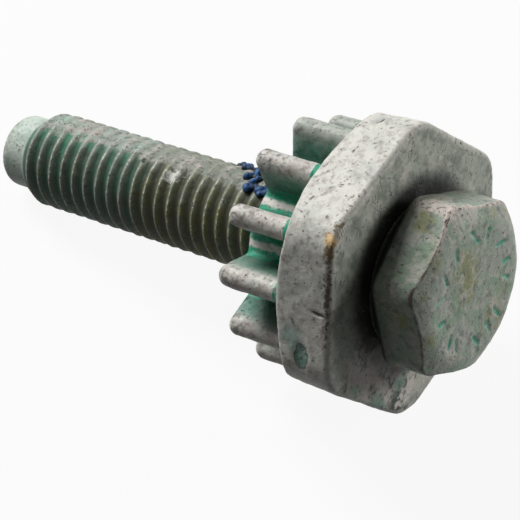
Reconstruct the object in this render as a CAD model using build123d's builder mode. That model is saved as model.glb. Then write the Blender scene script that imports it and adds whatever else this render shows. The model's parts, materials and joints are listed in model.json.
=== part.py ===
from build123d import *
from math import asin, cos, radians, sin, tan
import os

# A hexagon bolt with a captive tensioning pinion, lying as it comes to rest.
# Lengths are millimetres and angles are degrees. Heights along the bolt are counted from the head's bearing
# face towards the tip. Turns about the bolt are counted from the middle of one flat of the plate.

# Both hexagons: how far a corner lies from the middle of its flat, and the chamfer on their corners
corner_angle = 30
hex_chamfer_angle = 30

# Bolt
thread_diameter = 7.88
shank_length = 40.7
head_across_flats = 13.0
head_height = 5.3
head_corner_radius = 1.5
head_top_radius = 5.7
head_turn = 42.2
washer_face_radius = 5.9
washer_face_height = 0.35
under_head_fillet = 0.4
dog_diameter = 6.0
dog_length = 3.1
dog_edge_radius = 0.8
dog_dome_height = 0.55
thread_end_taper = 1.3

# Pinion
plate_across_flats = 21.5
plate_draft = 3
plate_thickness = 5.3
plate_corner_radius = 3.4
plate_front_chamfer = 0.35
plate_back_radius = 10.3
tooth_count = 12
tooth_tip_radius = 10.0
tooth_root_radius = 6.5
tooth_width = 1.9
tooth_length = 6.15
tooth_turn = -1.6
tooth_end_round = 0.85
bore_clearance = 0.1
bore_chamfer = 0.6
axial_clearance = 0.05

# Locking patch
patch_length = 4.6
patch_width_angle = 64
patch_middle_angle = 36
patch_thickness = 0.45
patch_to_pinion = 0.3
patch_seat_clearance = 0.02

# Places along the bolt
thread_radius = thread_diameter / 2
dog_radius = dog_diameter / 2
dog_start = shank_length - dog_length
thread_end = dog_start - thread_end_taper
plate_front = axial_clearance
plate_back = plate_front + plate_thickness
pinion_end = plate_back + tooth_length
bore_radius = thread_radius + bore_clearance
chamfer_slope = tan(radians(hex_chamfer_angle))
plate_apothem = plate_across_flats / 2
tooth_round_centre = tooth_tip_radius - tooth_width / 2

# How far the two hexagons' sharp corners would reach from the axis
head_reach = head_across_flats / 2 / cos(radians(corner_angle))
plate_reach = plate_apothem / cos(radians(corner_angle))

# The dog point ends in a shallow dome: its rim, its sphere and the sphere's centre
dome_rim_radius = dog_radius - dog_edge_radius
dome_radius = (dome_rim_radius**2 + dog_dome_height**2) / (2 * dog_dome_height)
dome_centre = shank_length - dome_radius
dome_rim = shank_length - dog_dome_height
dog_edge = dome_rim - dog_edge_radius

# The part lies on three round points: the end of the lowest tooth, a rounded corner of the plate at its back
# edge, and the end of the thread. Down starts square to a flat, and turns to where these three touch.
plate_shrink = plate_thickness * tan(radians(plate_draft))
corner_reach = (plate_apothem - plate_corner_radius) / cos(radians(corner_angle))
corner_centre = Vector(-corner_reach, 0, 0).rotate(Axis.Z, corner_angle)
tooth_centre = Vector(-tooth_round_centre, 0, 0).rotate(Axis.Z, tooth_turn)
down = Vector(-1, 0, 0)
for refinement in range(4):
    corner_side = corner_centre + down * (plate_corner_radius - plate_shrink)
    corner_drop = max(corner_side.length - plate_back_radius, 0) * chamfer_slope
    corner_point = corner_side + Vector(0, 0, plate_back - corner_drop)
    tooth_point = tooth_centre + down * (tooth_width / 2) + Vector(0, 0, pinion_end - tooth_end_round)
    thread_point = down * thread_radius + Vector(0, 0, thread_end)
    floor_normal = (thread_point - tooth_point).cross(corner_point - tooth_point).normalized()
    down = Vector(-floor_normal.X, -floor_normal.Y, 0).normalized()
rest_tilt = asin(-floor_normal.Z)

# The floor's origin is below the middle of the part's length, and its X runs along the bolt
reach_tip = dome_centre * cos(rest_tilt) + dome_radius
reach_head = head_height * cos(rest_tilt) + head_top_radius * sin(rest_tilt)
along_floor = (Vector(0, 0, 1) - floor_normal * floor_normal.Z).normalized()
floor_centre = along_floor * (reach_tip - reach_head) / 2 + floor_normal * tooth_point.dot(floor_normal)
floor_plane = Plane(origin=floor_centre, x_dir=along_floor, z_dir=floor_normal)

# The bolt's own planes, seen from the floor: across the axis at the bearing face, and through the axis
axis_plane = Plane(floor_plane.location.inverse())
section_plane = Plane(origin=axis_plane.origin, x_dir=axis_plane.x_dir, z_dir=-axis_plane.y_dir)
bolt_axis = Axis(axis_plane.origin, axis_plane.z_dir)

# How near to a height along the bolt an edge is taken to lie on it
tolerance = 0.01


# Hexagon head with rounded corners and the usual chamfer on its top, then the shank with its washer face,
# fillet, plain thread cylinder, end taper and domed dog point.
with BuildPart() as hex_bolt:
    with BuildSketch(axis_plane.offset(-head_height)):
        RegularPolygon(head_across_flats / 2, 6, major_radius=False, rotation=corner_angle + head_turn)
        fillet(vertices(), head_corner_radius)
    extrude(amount=head_height - washer_face_height)
    with BuildSketch(section_plane):
        with BuildLine():
            Polyline(
                (0, -head_height),
                (head_top_radius, -head_height),
                (head_reach, -head_height + (head_reach - head_top_radius) * chamfer_slope),
                (head_reach, -washer_face_height),
                (0, -washer_face_height),
                close=True,
            )
        make_face()
    revolve(axis=bolt_axis, mode=Mode.INTERSECT)
    with BuildSketch(section_plane):
        with BuildLine():
            Line((0, -washer_face_height), (washer_face_radius, -washer_face_height))
            Line((washer_face_radius, -washer_face_height), (washer_face_radius, 0))
            Line((washer_face_radius, 0), (thread_radius, 0))
            Line((thread_radius, 0), (thread_radius, thread_end))
            Line((thread_radius, thread_end), (dog_radius, dog_start))
            Line((dog_radius, dog_start), (dog_radius, dog_edge))
            RadiusArc((dog_radius, dog_edge), (dome_rim_radius, dome_rim), -dog_edge_radius)
            RadiusArc((dome_rim_radius, dome_rim), (0, shank_length), -dome_radius)
            Line((0, shank_length), (0, -washer_face_height))
        make_face()
    revolve(axis=bolt_axis)
    bearing_edges = edges().filter_by(GeomType.CIRCLE).filter_by_position(bolt_axis, -tolerance, tolerance)
    fillet(bearing_edges.sort_by(SortBy.RADIUS)[0], under_head_fillet)

hex_bolt.part.label = "hex_bolt"


# Hexagon plate with rounded corners, chamfered at the back, with the ring of teeth behind it.
with BuildPart() as tensioner_pinion:
    with BuildSketch(axis_plane.offset(plate_front)):
        RegularPolygon(plate_apothem, 6, major_radius=False, rotation=corner_angle)
        fillet(vertices(), plate_corner_radius)
    extrude(amount=plate_thickness, taper=plate_draft)
    chamfer(faces().sort_by(bolt_axis)[0].edges(), plate_front_chamfer)
    with BuildSketch(section_plane):
        with BuildLine():
            Polyline(
                (0, plate_front),
                (plate_reach, plate_front),
                (plate_reach, plate_back - (plate_reach - plate_back_radius) * chamfer_slope),
                (plate_back_radius, plate_back),
                (0, plate_back),
                close=True,
            )
        make_face()
    revolve(axis=bolt_axis, mode=Mode.INTERSECT)
    with BuildSketch(axis_plane.offset(plate_back)):
        Circle(tooth_root_radius)
        with PolarLocations(tooth_round_centre / 2, tooth_count, start_angle=tooth_turn):
            SlotCenterToCenter(tooth_round_centre, tooth_width)
    extrude(amount=tooth_length)
    fillet(faces().sort_by(bolt_axis)[-1].outer_wire().edges(), tooth_end_round)
    with BuildSketch(axis_plane):
        Circle(bore_radius)
    extrude(amount=pinion_end, mode=Mode.SUBTRACT)
    chamfer(edges(Select.LAST).filter_by(GeomType.CIRCLE), bore_chamfer)

tensioner_pinion.part.label = "tensioner_pinion"


# The locking patch: a thin saddle on the thread just past the pinion.
with BuildPart() as retaining_patch:
    patch_inner_radius = thread_radius + patch_seat_clearance
    patch_outer_radius = patch_inner_radius + patch_thickness
    patch_start_angle = patch_middle_angle - patch_width_angle / 2
    with BuildSketch(axis_plane.offset(pinion_end + patch_to_pinion)):
        with BuildLine():
            inner = CenterArc((0, 0), patch_inner_radius, patch_start_angle, patch_width_angle)
            outer = CenterArc((0, 0), patch_outer_radius, patch_start_angle, patch_width_angle)
            Line(inner @ 0, outer @ 0)
            Line(inner @ 1, outer @ 1)
        make_face()
    extrude(amount=patch_length)

retaining_patch.part.label = "retaining_patch"


os.makedirs("parts", exist_ok=True)
for piece in (hex_bolt, tensioner_pinion, retaining_patch):
    export_step(piece.part, f"parts/{piece.part.label}.step")
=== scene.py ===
import json
from functools import partial
from math import cos, pi, radians, sin, sqrt, tan

import bmesh
import bpy
import numpy as np
from bpy.props import FloatProperty, FloatVectorProperty, IntProperty, PointerProperty
from bpy.types import Operator, Panel, PropertyGroup
from mathutils import Matrix, Vector, noise


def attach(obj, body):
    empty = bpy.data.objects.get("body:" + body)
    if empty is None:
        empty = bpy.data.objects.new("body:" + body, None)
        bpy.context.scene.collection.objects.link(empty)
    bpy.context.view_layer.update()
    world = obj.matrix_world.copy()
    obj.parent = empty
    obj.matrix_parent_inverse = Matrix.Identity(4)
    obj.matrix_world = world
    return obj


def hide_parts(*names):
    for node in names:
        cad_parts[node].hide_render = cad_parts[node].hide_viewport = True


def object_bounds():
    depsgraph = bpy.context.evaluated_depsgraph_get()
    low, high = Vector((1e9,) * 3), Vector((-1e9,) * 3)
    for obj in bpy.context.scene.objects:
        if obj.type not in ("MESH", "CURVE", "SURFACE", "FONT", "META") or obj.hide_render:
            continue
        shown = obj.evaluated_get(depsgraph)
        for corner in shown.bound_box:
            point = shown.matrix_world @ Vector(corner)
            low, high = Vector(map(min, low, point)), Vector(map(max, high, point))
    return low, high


bl_info = {
    "name": "Belt tensioning bolt",
    "version": (1, 0, 0),
    "blender": (4, 5, 0),
    "location": "View3D > Sidebar > Tensioning bolt",
    "description": "Worn zinc-plated bolt with a captive forged pinion and a nylon locking patch",
    "category": "Object",
}

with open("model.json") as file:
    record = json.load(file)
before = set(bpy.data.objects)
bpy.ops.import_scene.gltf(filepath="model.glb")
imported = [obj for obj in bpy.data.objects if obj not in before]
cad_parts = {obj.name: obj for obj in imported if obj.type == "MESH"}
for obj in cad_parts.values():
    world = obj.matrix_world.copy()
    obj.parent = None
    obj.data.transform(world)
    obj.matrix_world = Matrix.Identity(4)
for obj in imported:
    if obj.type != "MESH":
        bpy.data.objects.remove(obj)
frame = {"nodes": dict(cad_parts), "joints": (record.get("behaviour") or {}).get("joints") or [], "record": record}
cad_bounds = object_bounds()

MM = 0.001
TURN = 2 * pi

# Points nearer than this many millimetres are the same point, on a skin made here and on a copied CAD mesh
SAME_POINT = 0.0005
SAME_CAD_POINT = 0.002

# Kinds of node that are used often
MATH = "ShaderNodeMath"
RANGE = "ShaderNodeMapRange"
NOISE = "ShaderNodeTexNoise"
VECTOR = "ShaderNodeVectorMath"

# The mount on the plate's back lies between two teeth, this far round from the plate's first flat
BACK_MOUNT_TURN = radians(163.4)


def bolt_axes():
    """From the bolt's own millimetres to the part's metres: Z runs along the bolt from the head's bearing
    face towards the tip, and X points at the middle of the plate's first flat."""
    spin = frame["joints"][0]
    mounts = {mount["name"]: mount for mount in frame["record"]["mounts"]}
    origin = Vector(spin["pos_m"])
    along = Vector(spin["axis"]).normalized()
    arm = Vector(mounts["plate_back"]["pos_m"]) - origin
    arm = (arm - along * arm.dot(along)).normalized()
    flat = Matrix.Rotation(-BACK_MOUNT_TURN, 3, along) @ arm
    turned = Matrix((flat, along.cross(flat), along)).transposed().to_4x4()
    return Matrix.Translation(origin) @ turned @ Matrix.Scale(MM, 4)


TO_PART = bolt_axes()
TO_BOLT = TO_PART.inverted()


class BoltSizes(PropertyGroup):
    """Sizes of the bolt. Heights are counted from the head's bearing face."""

    across_flats: FloatProperty(
        name="Head across flats",
        description="Spanner size of the hexagon head",
        default=13.0 * MM, unit="LENGTH", precision=5,
    )
    head_height: FloatProperty(
        name="Head height",
        description="From the bearing face to the top of the head",
        default=5.3 * MM, unit="LENGTH", precision=5,
    )
    head_turn: FloatProperty(
        name="Head turn",
        description="How far the middle of a head flat is turned from the middle of a plate flat",
        default=radians(42.2), subtype="ANGLE",
    )
    thread_pitch: FloatProperty(
        name="Thread pitch",
        description="Distance between neighbouring thread crests",
        default=1.25 * MM, unit="LENGTH", precision=5,
    )
    thread_radius: FloatProperty(
        name="Thread radius",
        description="From the axis to a thread crest",
        default=3.94 * MM, unit="LENGTH", precision=5,
    )
    thread_depth: FloatProperty(
        name="Thread depth",
        description="From a crest down to the root, less than a new thread's because dirt fills its roots",
        default=0.42 * MM, unit="LENGTH", precision=5,
    )
    shank_length: FloatProperty(
        name="Length under the head",
        description="From the bearing face to the end of the dog point",
        default=40.7 * MM, unit="LENGTH", precision=5,
    )
    mark_count: IntProperty(
        name="Marks on the head",
        description="Number of short stamped strokes in the ring on the head",
        default=14,
    )


class PinionSizes(PropertyGroup):
    """Sizes of the forged pinion's skin."""

    grid: FloatProperty(
        name="Skin grid",
        description="Width of the small squares that the forged skin is made of",
        default=0.17 * MM, unit="LENGTH", precision=5,
    )
    edge_rounds: IntProperty(
        name="Edge rounding",
        description="How often the skin is relaxed, which rounds its edges as a forging die does",
        default=1,
    )
    root_rounds: IntProperty(
        name="Root rounding",
        description="How often the corners at the tooth roots are relaxed, which fills them as forging does",
        default=7,
    )
    unevenness: FloatProperty(
        name="Unevenness",
        description="Depth of the broad hollows that forging and tumbling leave",
        default=0.11 * MM, unit="LENGTH", precision=5,
    )


class PatchSizes(PropertyGroup):
    """Sizes of the nylon locking patch."""

    grain: FloatProperty(
        name="Grain",
        description="Usual diameter of a melted nylon grain",
        default=0.72 * MM, unit="LENGTH", precision=5,
    )
    melt_grid: FloatProperty(
        name="Melt grid",
        description="Width of the small squares of the skin that joins the grains where they melted together",
        default=0.08 * MM, unit="LENGTH", precision=5,
    )
    density: FloatProperty(
        name="Grains on a square millimetre",
        description="How closely the grains are strewn",
        default=7.0,
    )
    seed: IntProperty(
        name="Seed",
        description="Picks where the grains fall",
        default=4,
    )


class StageSizes(PropertyGroup):
    """Floor, light and camera."""

    floor_width: FloatProperty(
        name="Floor width",
        description="Side of the square floor",
        default=4.0, unit="LENGTH",
    )
    floor_tone: FloatVectorProperty(
        name="Floor tone",
        description="Colour of the floor in the light of the lamps",
        default=(0.62, 0.62, 0.61), subtype="COLOR",
    )
    floor_bounce: FloatVectorProperty(
        name="Floor bounce",
        description="Colour of the light that the floor throws back onto the part",
        default=(0.07, 0.07, 0.07), subtype="COLOR",
    )
    focal_length: FloatProperty(
        name="Focal length",
        description="Lens of the camera in millimetres",
        default=176.64,
    )


def linear(hex_colour):
    """An sRGB colour written as #RRGGBB, as linear red, green, blue and alpha."""
    colour = []
    for place in (1, 3, 5):
        share = int(hex_colour[place:place + 2], 16) / 255
        colour.append(share / 12.92 if share <= 0.04045 else ((share + 0.055) / 1.055) ** 2.4)
    return colour + [1.0]


def add_node(tree, kind, sockets=(), **settings):
    """Adds a node. Its sockets are given by name, or in their order, and each takes a plain value, another
    node's socket, or a node for its first output."""
    made = tree.nodes.new(kind)
    for name, value in settings.items():
        setattr(made, name, value)
    for key, value in sockets.items() if isinstance(sockets, dict) else enumerate(sockets):
        if isinstance(value, bpy.types.Node):
            value = value.outputs[0]
        if isinstance(value, bpy.types.NodeSocket):
            tree.links.new(value, made.inputs[key])
        else:
            made.inputs[key].default_value = value
    return made


def per_mm(size):
    """Noise scale on coordinates in metres for features of this many millimetres."""
    return 1 / (size * MM)


def points_of(mesh):
    """The mesh's points as an array."""
    flat = np.empty(len(mesh.vertices) * 3)
    mesh.vertices.foreach_get("co", flat)
    return flat.reshape(-1, 3)


def normals_of(mesh):
    """The mesh's point normals as an array."""
    flat = np.empty(len(mesh.vertices) * 3)
    mesh.vertex_normals.foreach_get("vector", flat)
    return flat.reshape(-1, 3)


def edges_of(mesh):
    """The mesh's edges as pairs of point numbers."""
    flat = np.empty(len(mesh.edges) * 2, dtype=np.int64)
    mesh.edges.foreach_get("vertices", flat)
    return flat.reshape(-1, 2)


def move_points(mesh, points):
    """Puts the mesh's points where the array says."""
    mesh.vertices.foreach_set("co", points.ravel())
    mesh.update()


def keep_marks(mesh, marks):
    """Keeps one number for each point under each name, for the materials to read."""
    for name, values in marks.items():
        attribute = mesh.attributes.get(name) or mesh.attributes.new(name, "FLOAT", "POINT")
        attribute.data.foreach_set("value", np.asarray(values, dtype=np.float32))


def relaxed(points, edges, rounds, share=0.5):
    """Where the points come to lie when each is drawn towards the middle of its neighbours."""
    count = len(points)
    neighbours = np.bincount(edges.ravel(), minlength=count)
    for _ in range(rounds):
        middles = np.empty_like(points)
        for axis in range(3):
            sums = np.bincount(edges[:, 0], points[edges[:, 1], axis], count)
            sums += np.bincount(edges[:, 1], points[edges[:, 0], axis], count)
            middles[:, axis] = sums / neighbours
        points = points + (middles - points) * share
    return points


def eased(values, low, high):
    """0 up to low, 1 from high, with a soft step between."""
    share = np.clip((values - low) / (high - low), 0, 1)
    return share * share * (3 - 2 * share)


def keep_wear(mesh, rounds, reach):
    """Keeps how far each point stands out as a ridge or lies in as a recess, where reach in millimetres is full
    wear or a full recess. The pinion's material darkens the recesses as painted shade."""
    points = points_of(mesh)
    stands = ((points - relaxed(points, edges_of(mesh), rounds)) * normals_of(mesh)).sum(axis=1)
    keep_marks(mesh, {"ridge": np.clip(stands / reach, 0, 1), "recess": np.clip(-stands / reach, 0, 1)})


def rough(points, size, seed, octaves=3):
    """Fractal noise from about -1 to 1 at each point, with lumps of this size."""
    offset = Vector((seed * 17.3, seed * 5.1, seed * 9.7))
    return np.array([
        noise.fractal(Vector(point) / size + offset, 0.9, 2.1, octaves, noise_basis="PERLIN_ORIGINAL")
        for point in points
    ])


def object_of(name, mesh):
    """A linked object at the origin for this mesh."""
    made = bpy.data.objects.new(name, mesh)
    bpy.context.scene.collection.objects.link(made)
    return made


def bake_modifiers(thing):
    """Turns what the modifiers make into the object's own plain mesh."""
    depsgraph = bpy.context.evaluated_depsgraph_get()
    depsgraph.update()
    evaluated = thing.evaluated_get(depsgraph)
    plain = bpy.data.meshes.new_from_object(evaluated, preserve_all_data_layers=True, depsgraph=depsgraph)
    thing.modifiers.clear()
    thing.data = plain
    return thing


def add_tree(thing, name, inputs):
    """A Geometry Nodes tree on the object with named inputs. Gives the tree and the inputs' sockets in it."""
    tree = bpy.data.node_groups.new(name, "GeometryNodeTree")
    tree.interface.new_socket("Geometry", in_out="INPUT", socket_type="NodeSocketGeometry")
    tree.interface.new_socket("Geometry", in_out="OUTPUT", socket_type="NodeSocketGeometry")
    for title, value in inputs.items():
        kind = "NodeSocketInt" if isinstance(value, int) else "NodeSocketFloat"
        tree.interface.new_socket(title, in_out="INPUT", socket_type=kind)
    entry = add_node(tree, "NodeGroupInput")
    modifier = thing.modifiers.new(name, "NODES")
    modifier.node_group = tree
    for item in tree.interface.items_tree:
        if item.in_out == "INPUT" and item.name in inputs:
            modifier[item.identifier] = inputs[item.name]
    return tree, entry.outputs


def end_tree(tree, geometry, material):
    """Ends a tree in Realize Instances and Set Material."""
    real = add_node(tree, "GeometryNodeRealizeInstances", {"Geometry": geometry})
    coated = add_node(tree, "GeometryNodeSetMaterial", {"Geometry": real, "Material": material})
    add_node(tree, "NodeGroupOutput", {"Geometry": coated})


def finish_piece(thing, body, slot, *nodes):
    """Puts a finished piece from the bolt's own millimetres into the part's frame, and hands it over."""
    thing.data.transform(TO_PART)
    thing.data.shade_smooth()
    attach(thing, body)
    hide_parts(*nodes)


# Bolt

WASHER_FACE_RADIUS = 5.9
WASHER_FACE_HEIGHT = 0.35
UNDERSIDE_RELIEF = 0.6
HEAD_TOP_RADIUS = 5.7
HEAD_CORNER_RADIUS = 1.5
UNDER_HEAD_FILLET = 0.4
DOG_RADIUS = 3.0
DOG_LENGTH = 3.1
DOG_EDGE_RADIUS = 0.8
DOG_DOME_HEIGHT = 0.55
THREAD_END_TAPER = 1.3
SKIN_SIDES = 240
DOG_EDGE_STEPS = 6
DOME_STEPS = 12

# Height of a thread crest at turn 0, one just inside the pinion
FIRST_CREST = 10.164

# The chalky crust on the thread's upper side: its middle, and the cosines of the turn from it between which
# the crust fills the grooves
CRUST_TURN = radians(28)
CRUST_FILLS = (0.72, 0.99)

# Noise between which the crests are worn from not at all to fully, and how broad the worn spots are
CRESTS_WORN = (0.4, 0.75)
WORN_SPOT_SIZE = 0.9

# Rows across one pitch, from root to root, as shares of it: root, flank, crest, flank and root
ROWS_IN_A_PITCH = (0, 0.105, 0.22, 0.335, 0.45, 0.5, 0.55, 0.665, 0.78, 0.895, 1)


def hexagon_reach(turns, apothem, corner_radius):
    """How far a hexagon with rounded corners reaches at each angle from the middle of a flat."""
    off_flat = np.abs((turns + pi / 6) % (pi / 3) - pi / 6)
    corner_centre = (apothem - corner_radius) / cos(pi / 6)
    tangent = np.arctan2(corner_centre * sin(pi / 6), apothem)
    off_corner = pi / 6 - off_flat
    bow = np.sqrt(np.maximum(corner_radius**2 - (corner_centre * np.sin(off_corner)) ** 2, 0))
    return np.where(off_flat < tangent, apothem / np.cos(off_flat), corner_centre * np.cos(off_corner) + bow)


def rings_between(before, after):
    """Rings from one outline, left out, to the next. An outline is its radius, its height and the number of
    rings up to it."""
    shares = [step / after[2] for step in range(1, after[2] + 1)]
    return [[before[part] + (after[part] - before[part]) * share for part in (0, 1)] for share in shares]


def thread_rows(first_root, pitch, rounds):
    """Heights of rows that climb with the thread, so that its crests and roots fall on whole rows. The first
    and the last turn are wedges between a climbing row and a level one."""
    climb = np.linspace(0, 1, SKIN_SIDES + 1)
    rows = [first_root + climb * step * pitch for step in ROWS_IN_A_PITCH]
    for turn in range(rounds - 1):
        rows += [first_root + (turn + climb + step) * pitch for step in ROWS_IN_A_PITCH]
    last_row = first_root + (rounds - 1 + climb) * pitch
    return rows + [last_row + (1 - climb) * step * pitch for step in ROWS_IN_A_PITCH]


def skin(name, rings, turns):
    """A closed skin round the Z axis through rings of radius and height. A ring of radius 0 closes it."""
    width = len(turns)
    ones = np.ones(width)
    points = np.concatenate([
        np.stack([radius * np.cos(turns), radius * np.sin(turns), height * ones], axis=1)
        for radius, height in rings
    ])
    starts = np.arange(len(rings) - 1)[:, None] * width + np.arange(width - 1)
    faces = np.stack([starts, starts + width, starts + width + 1, starts + 1], axis=-1).reshape(-1, 4)
    mesh = bpy.data.meshes.new(name)
    mesh.from_pydata(points.tolist(), [], faces.tolist())
    merged = bmesh.new()
    merged.from_mesh(mesh)
    bmesh.ops.remove_doubles(merged, verts=merged.verts, dist=SAME_POINT)
    bmesh.ops.recalc_face_normals(merged, faces=merged.faces)
    merged.to_mesh(mesh)
    merged.free()
    return mesh


def bolt_blank(sizes):
    """The bolt before its thread is rolled: hexagon head, washer face, shank, taper and domed dog point."""
    turns = np.linspace(0, TURN, SKIN_SIDES + 1) + sizes.head_turn
    hexagon = hexagon_reach(turns - sizes.head_turn, sizes.across_flats / MM / 2, HEAD_CORNER_RADIUS)
    top = -sizes.head_height / MM
    shank = sizes.thread_radius / MM
    pitch = sizes.thread_pitch / MM
    length = sizes.shank_length / MM
    dog_start = length - DOG_LENGTH
    thread_end = dog_start - THREAD_END_TAPER
    rim = length - DOG_DOME_HEIGHT
    rim_radius = DOG_RADIUS - DOG_EDGE_RADIUS
    dome = (rim_radius**2 + DOG_DOME_HEIGHT**2) / (2 * DOG_DOME_HEIGHT)
    before_thread = [
        (0, top, 1),
        (HEAD_TOP_RADIUS, top, 38),
        (hexagon, top + (hexagon - HEAD_TOP_RADIUS) * tan(pi / 6), 7),
        (hexagon, -WASHER_FACE_HEIGHT - UNDERSIDE_RELIEF, 27),
        (WASHER_FACE_RADIUS, -WASHER_FACE_HEIGHT, 5),
        (WASHER_FACE_RADIUS, 0, 2),
        (shank + UNDER_HEAD_FILLET, 0, 6),
        (shank, UNDER_HEAD_FILLET, 3),
    ]
    first_root = FIRST_CREST + (sizes.head_turn / TURN - 0.5) * pitch
    rounds = int((dog_start - first_root) / pitch)
    thread_top = first_root + rounds * pitch
    before_thread.append((shank, first_root, 12))

    def taper(height):
        """The shank's radius, which shrinks where the thread runs out towards the dog point."""
        return shank - (shank - DOG_RADIUS) * np.clip((height - thread_end) / THREAD_END_TAPER, 0, 1)

    after_thread = [
        (taper(thread_top), thread_top, 1),
        (DOG_RADIUS, dog_start, 4),
        (DOG_RADIUS, rim - DOG_EDGE_RADIUS, 13),
    ]
    for step in range(1, DOG_EDGE_STEPS + 1):
        turn = step / DOG_EDGE_STEPS * pi / 2
        height = rim - DOG_EDGE_RADIUS * (1 - sin(turn))
        after_thread.append((rim_radius + DOG_EDGE_RADIUS * cos(turn), height, 1))
    for step in range(1, DOME_STEPS + 1):
        radius = rim_radius * (1 - step / DOME_STEPS)
        after_thread.append((radius, length - dome + sqrt(dome**2 - radius**2), 1))
    rings = [[0, top]]
    for before, after in zip(before_thread, before_thread[1:]):
        rings += rings_between(before, after)
    rings += [[taper(row), row] for row in thread_rows(first_root, pitch, rounds)]
    for before, after in zip(after_thread, after_thread[1:]):
        rings += rings_between(before, after)
    return skin("bolt_blank", rings, turns)


def round_the_axis(tree):
    """Where each point lies: its place flat across the axis, how far along it, its radius and its turn."""
    place = add_node(tree, "GeometryNodeInputPosition")
    across, beside, along = add_node(tree, "ShaderNodeSeparateXYZ", (place,)).outputs
    flat_place = add_node(tree, "ShaderNodeCombineXYZ", (across, beside))
    radius = add_node(tree, VECTOR, (flat_place,), operation="LENGTH").outputs["Value"]
    return flat_place, along, radius, add_node(tree, MATH, (beside, across), operation="ARCTAN2")


def roll_thread(bolt, sizes, material):
    """Rolls the thread into the blank: every point of the shank comes down to the thread's outline."""
    pitch = sizes.thread_pitch / MM
    tree, given = add_tree(bolt, "Rolled thread", {
        "Pitch": pitch,
        "Crest radius": sizes.thread_radius / MM,
        "Depth": sizes.thread_depth / MM,
        "Crest half width": 0.03,
        "Root half width": 0.09,
        "Crest height at turn 0": FIRST_CREST,
        "Start": FIRST_CREST - pitch,
        "End": sizes.shank_length / MM - DOG_LENGTH,
        "Run in": 1.2,
        "Crest wear": 0.09,
        "Crust turn": CRUST_TURN,
        "Depth left under the crust": 0.3,
        "Seed": 7.0,
    })
    flat_place, along, radius, turn = round_the_axis(tree)
    off_crust = add_node(tree, MATH, (turn, given["Crust turn"]), operation="SUBTRACT")
    facing = add_node(tree, MATH, (off_crust,), operation="COSINE")
    turns = add_node(tree, MATH, (turn, TURN), operation="DIVIDE")
    lift = add_node(tree, MATH, (along, given["Crest height at turn 0"]), operation="SUBTRACT")
    crests = add_node(tree, MATH, (lift, given["Pitch"]), operation="DIVIDE")
    phase = add_node(tree, MATH, (crests, turns), operation="SUBTRACT")
    nearest = add_node(tree, MATH, (phase,), operation="ROUND")
    miss = add_node(tree, MATH, (phase, nearest), operation="SUBTRACT")
    gap = add_node(tree, MATH, (miss,), operation="ABSOLUTE")
    from_crest = add_node(tree, MATH, (gap, given["Pitch"]), operation="MULTIPLY")
    half = add_node(tree, MATH, (given["Pitch"], 0.5), operation="MULTIPLY")
    root_edge = add_node(tree, MATH, (half, given["Root half width"]), operation="SUBTRACT")
    fall = add_node(tree, RANGE, (from_crest, given["Crest half width"], root_edge, 0.0, 1.0))
    fade_end = add_node(tree, MATH, (given["Start"], given["Run in"]), operation="ADD")
    fade = add_node(tree, RANGE, (along, given["Start"], fade_end, 0.0, 1.0))
    cut = add_node(tree, MATH, (fall, fade), operation="MULTIPLY")
    clear = add_node(tree, RANGE, (facing, *CRUST_FILLS, 1.0, given["Depth left under the crust"]))
    deep = add_node(tree, MATH, (cut, given["Depth"]), operation="MULTIPLY")
    deep = add_node(tree, MATH, (deep, clear), operation="MULTIPLY")
    worn = add_node(tree, NOISE, {
        "W": given["Seed"], "Scale": 1 / WORN_SPOT_SIZE, "Detail": 4.0, "Roughness": 0.65,
    }, noise_dimensions="4D")
    wear = add_node(tree, RANGE, (worn, *CRESTS_WORN, 0.0, given["Crest wear"]))
    crest = add_node(tree, MATH, (given["Crest radius"], wear), operation="SUBTRACT")
    outline = add_node(tree, MATH, (given["Crest radius"], deep), operation="SUBTRACT")
    outline = add_node(tree, MATH, (outline, crest), operation="MINIMUM")
    lower = add_node(tree, MATH, (outline, radius), operation="MINIMUM")
    share = add_node(tree, MATH, (lower, radius), operation="DIVIDE")
    pulled = add_node(tree, VECTOR, {0: flat_place, "Scale": share}, operation="SCALE")
    height = add_node(tree, "ShaderNodeCombineXYZ", {2: along})
    target = add_node(tree, VECTOR, (pulled, height), operation="ADD")
    after = add_node(tree, "FunctionNodeCompare", (along, given["Start"]), operation="GREATER_THAN")
    before = add_node(tree, "FunctionNodeCompare", (along, given["End"]), operation="LESS_THAN")
    on_thread = add_node(tree, "FunctionNodeBooleanMath", (after, before), operation="AND")
    depth_kept = add_node(tree, MATH, (on_thread, cut), operation="MULTIPLY")
    kept = add_node(tree, "GeometryNodeStoreNamedAttribute", {
        "Geometry": given["Geometry"], "Name": "groove", "Value": depth_kept,
    }, data_type="FLOAT", domain="POINT")
    rolled = add_node(tree, "GeometryNodeSetPosition", {
        "Geometry": kept, "Selection": on_thread, "Position": target,
    })
    end_tree(tree, rolled, material)


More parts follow.
